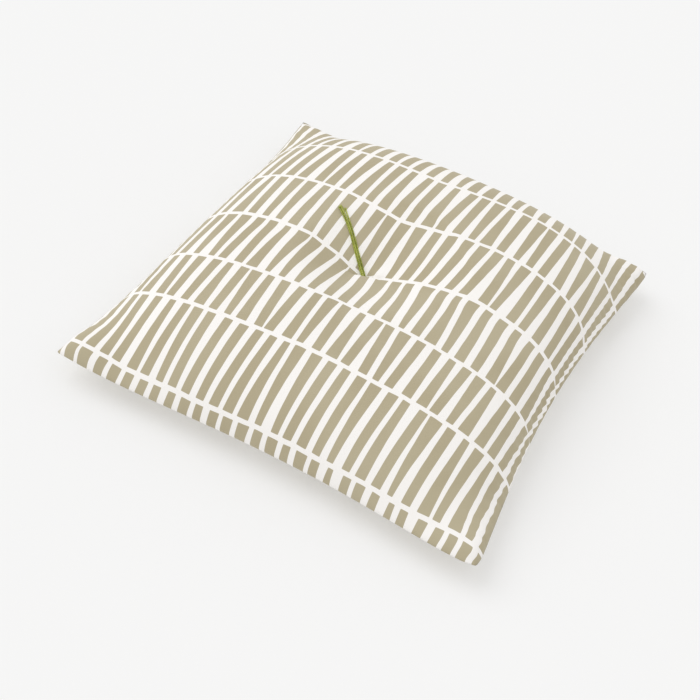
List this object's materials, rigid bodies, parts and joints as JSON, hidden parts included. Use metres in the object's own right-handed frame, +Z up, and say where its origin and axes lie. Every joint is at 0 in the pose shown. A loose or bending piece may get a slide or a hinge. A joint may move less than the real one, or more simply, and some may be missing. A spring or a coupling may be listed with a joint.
{
  "type": "floor cushion",
  "caption": "Square stuffed floor cushion in printed cotton, drawn in at the middle by a green tuft thread with free ends.",
  "frame": {"origin": "middle of the cushion's plan, on the surface it rests on", "axes": "+Z up; +X along the folded front edge towards the hand-closed right side; +Y from the folded front edge to the back seam"},
  "size_m": [0.55, 0.59, 0.1189],
  "materials": {
    "printed_cotton": "plain-weave cotton, olive bars printed on white",
    "batting": "matte loose cotton",
    "tuft_thread": "twisted green cotton",
    "sewing_thread": "matte off-white"
  },
  "bodies": {
    "root": {"cover": "printed_cotton", "batting_wrap": "batting", "batting_core_lower": "batting", "batting_core_middle": "batting", "batting_core_upper": "batting", "batting_corner_front_left": "batting", "batting_corner_front_right": "batting", "batting_corner_back_right": "batting", "batting_corner_back_left": "batting", "tuft_tie": "tuft_thread", "tuft_knot": "tuft_thread", "tuft_strand_1": "tuft_thread", "tuft_strand_2": "tuft_thread", "tuft_strand_3": "tuft_thread", "tuft_strand_4": "tuft_thread", "seam_thread_left": "sewing_thread", "seam_thread_back": "sewing_thread", "closing_thread_right": "sewing_thread"}
  },
  "joints": []
}
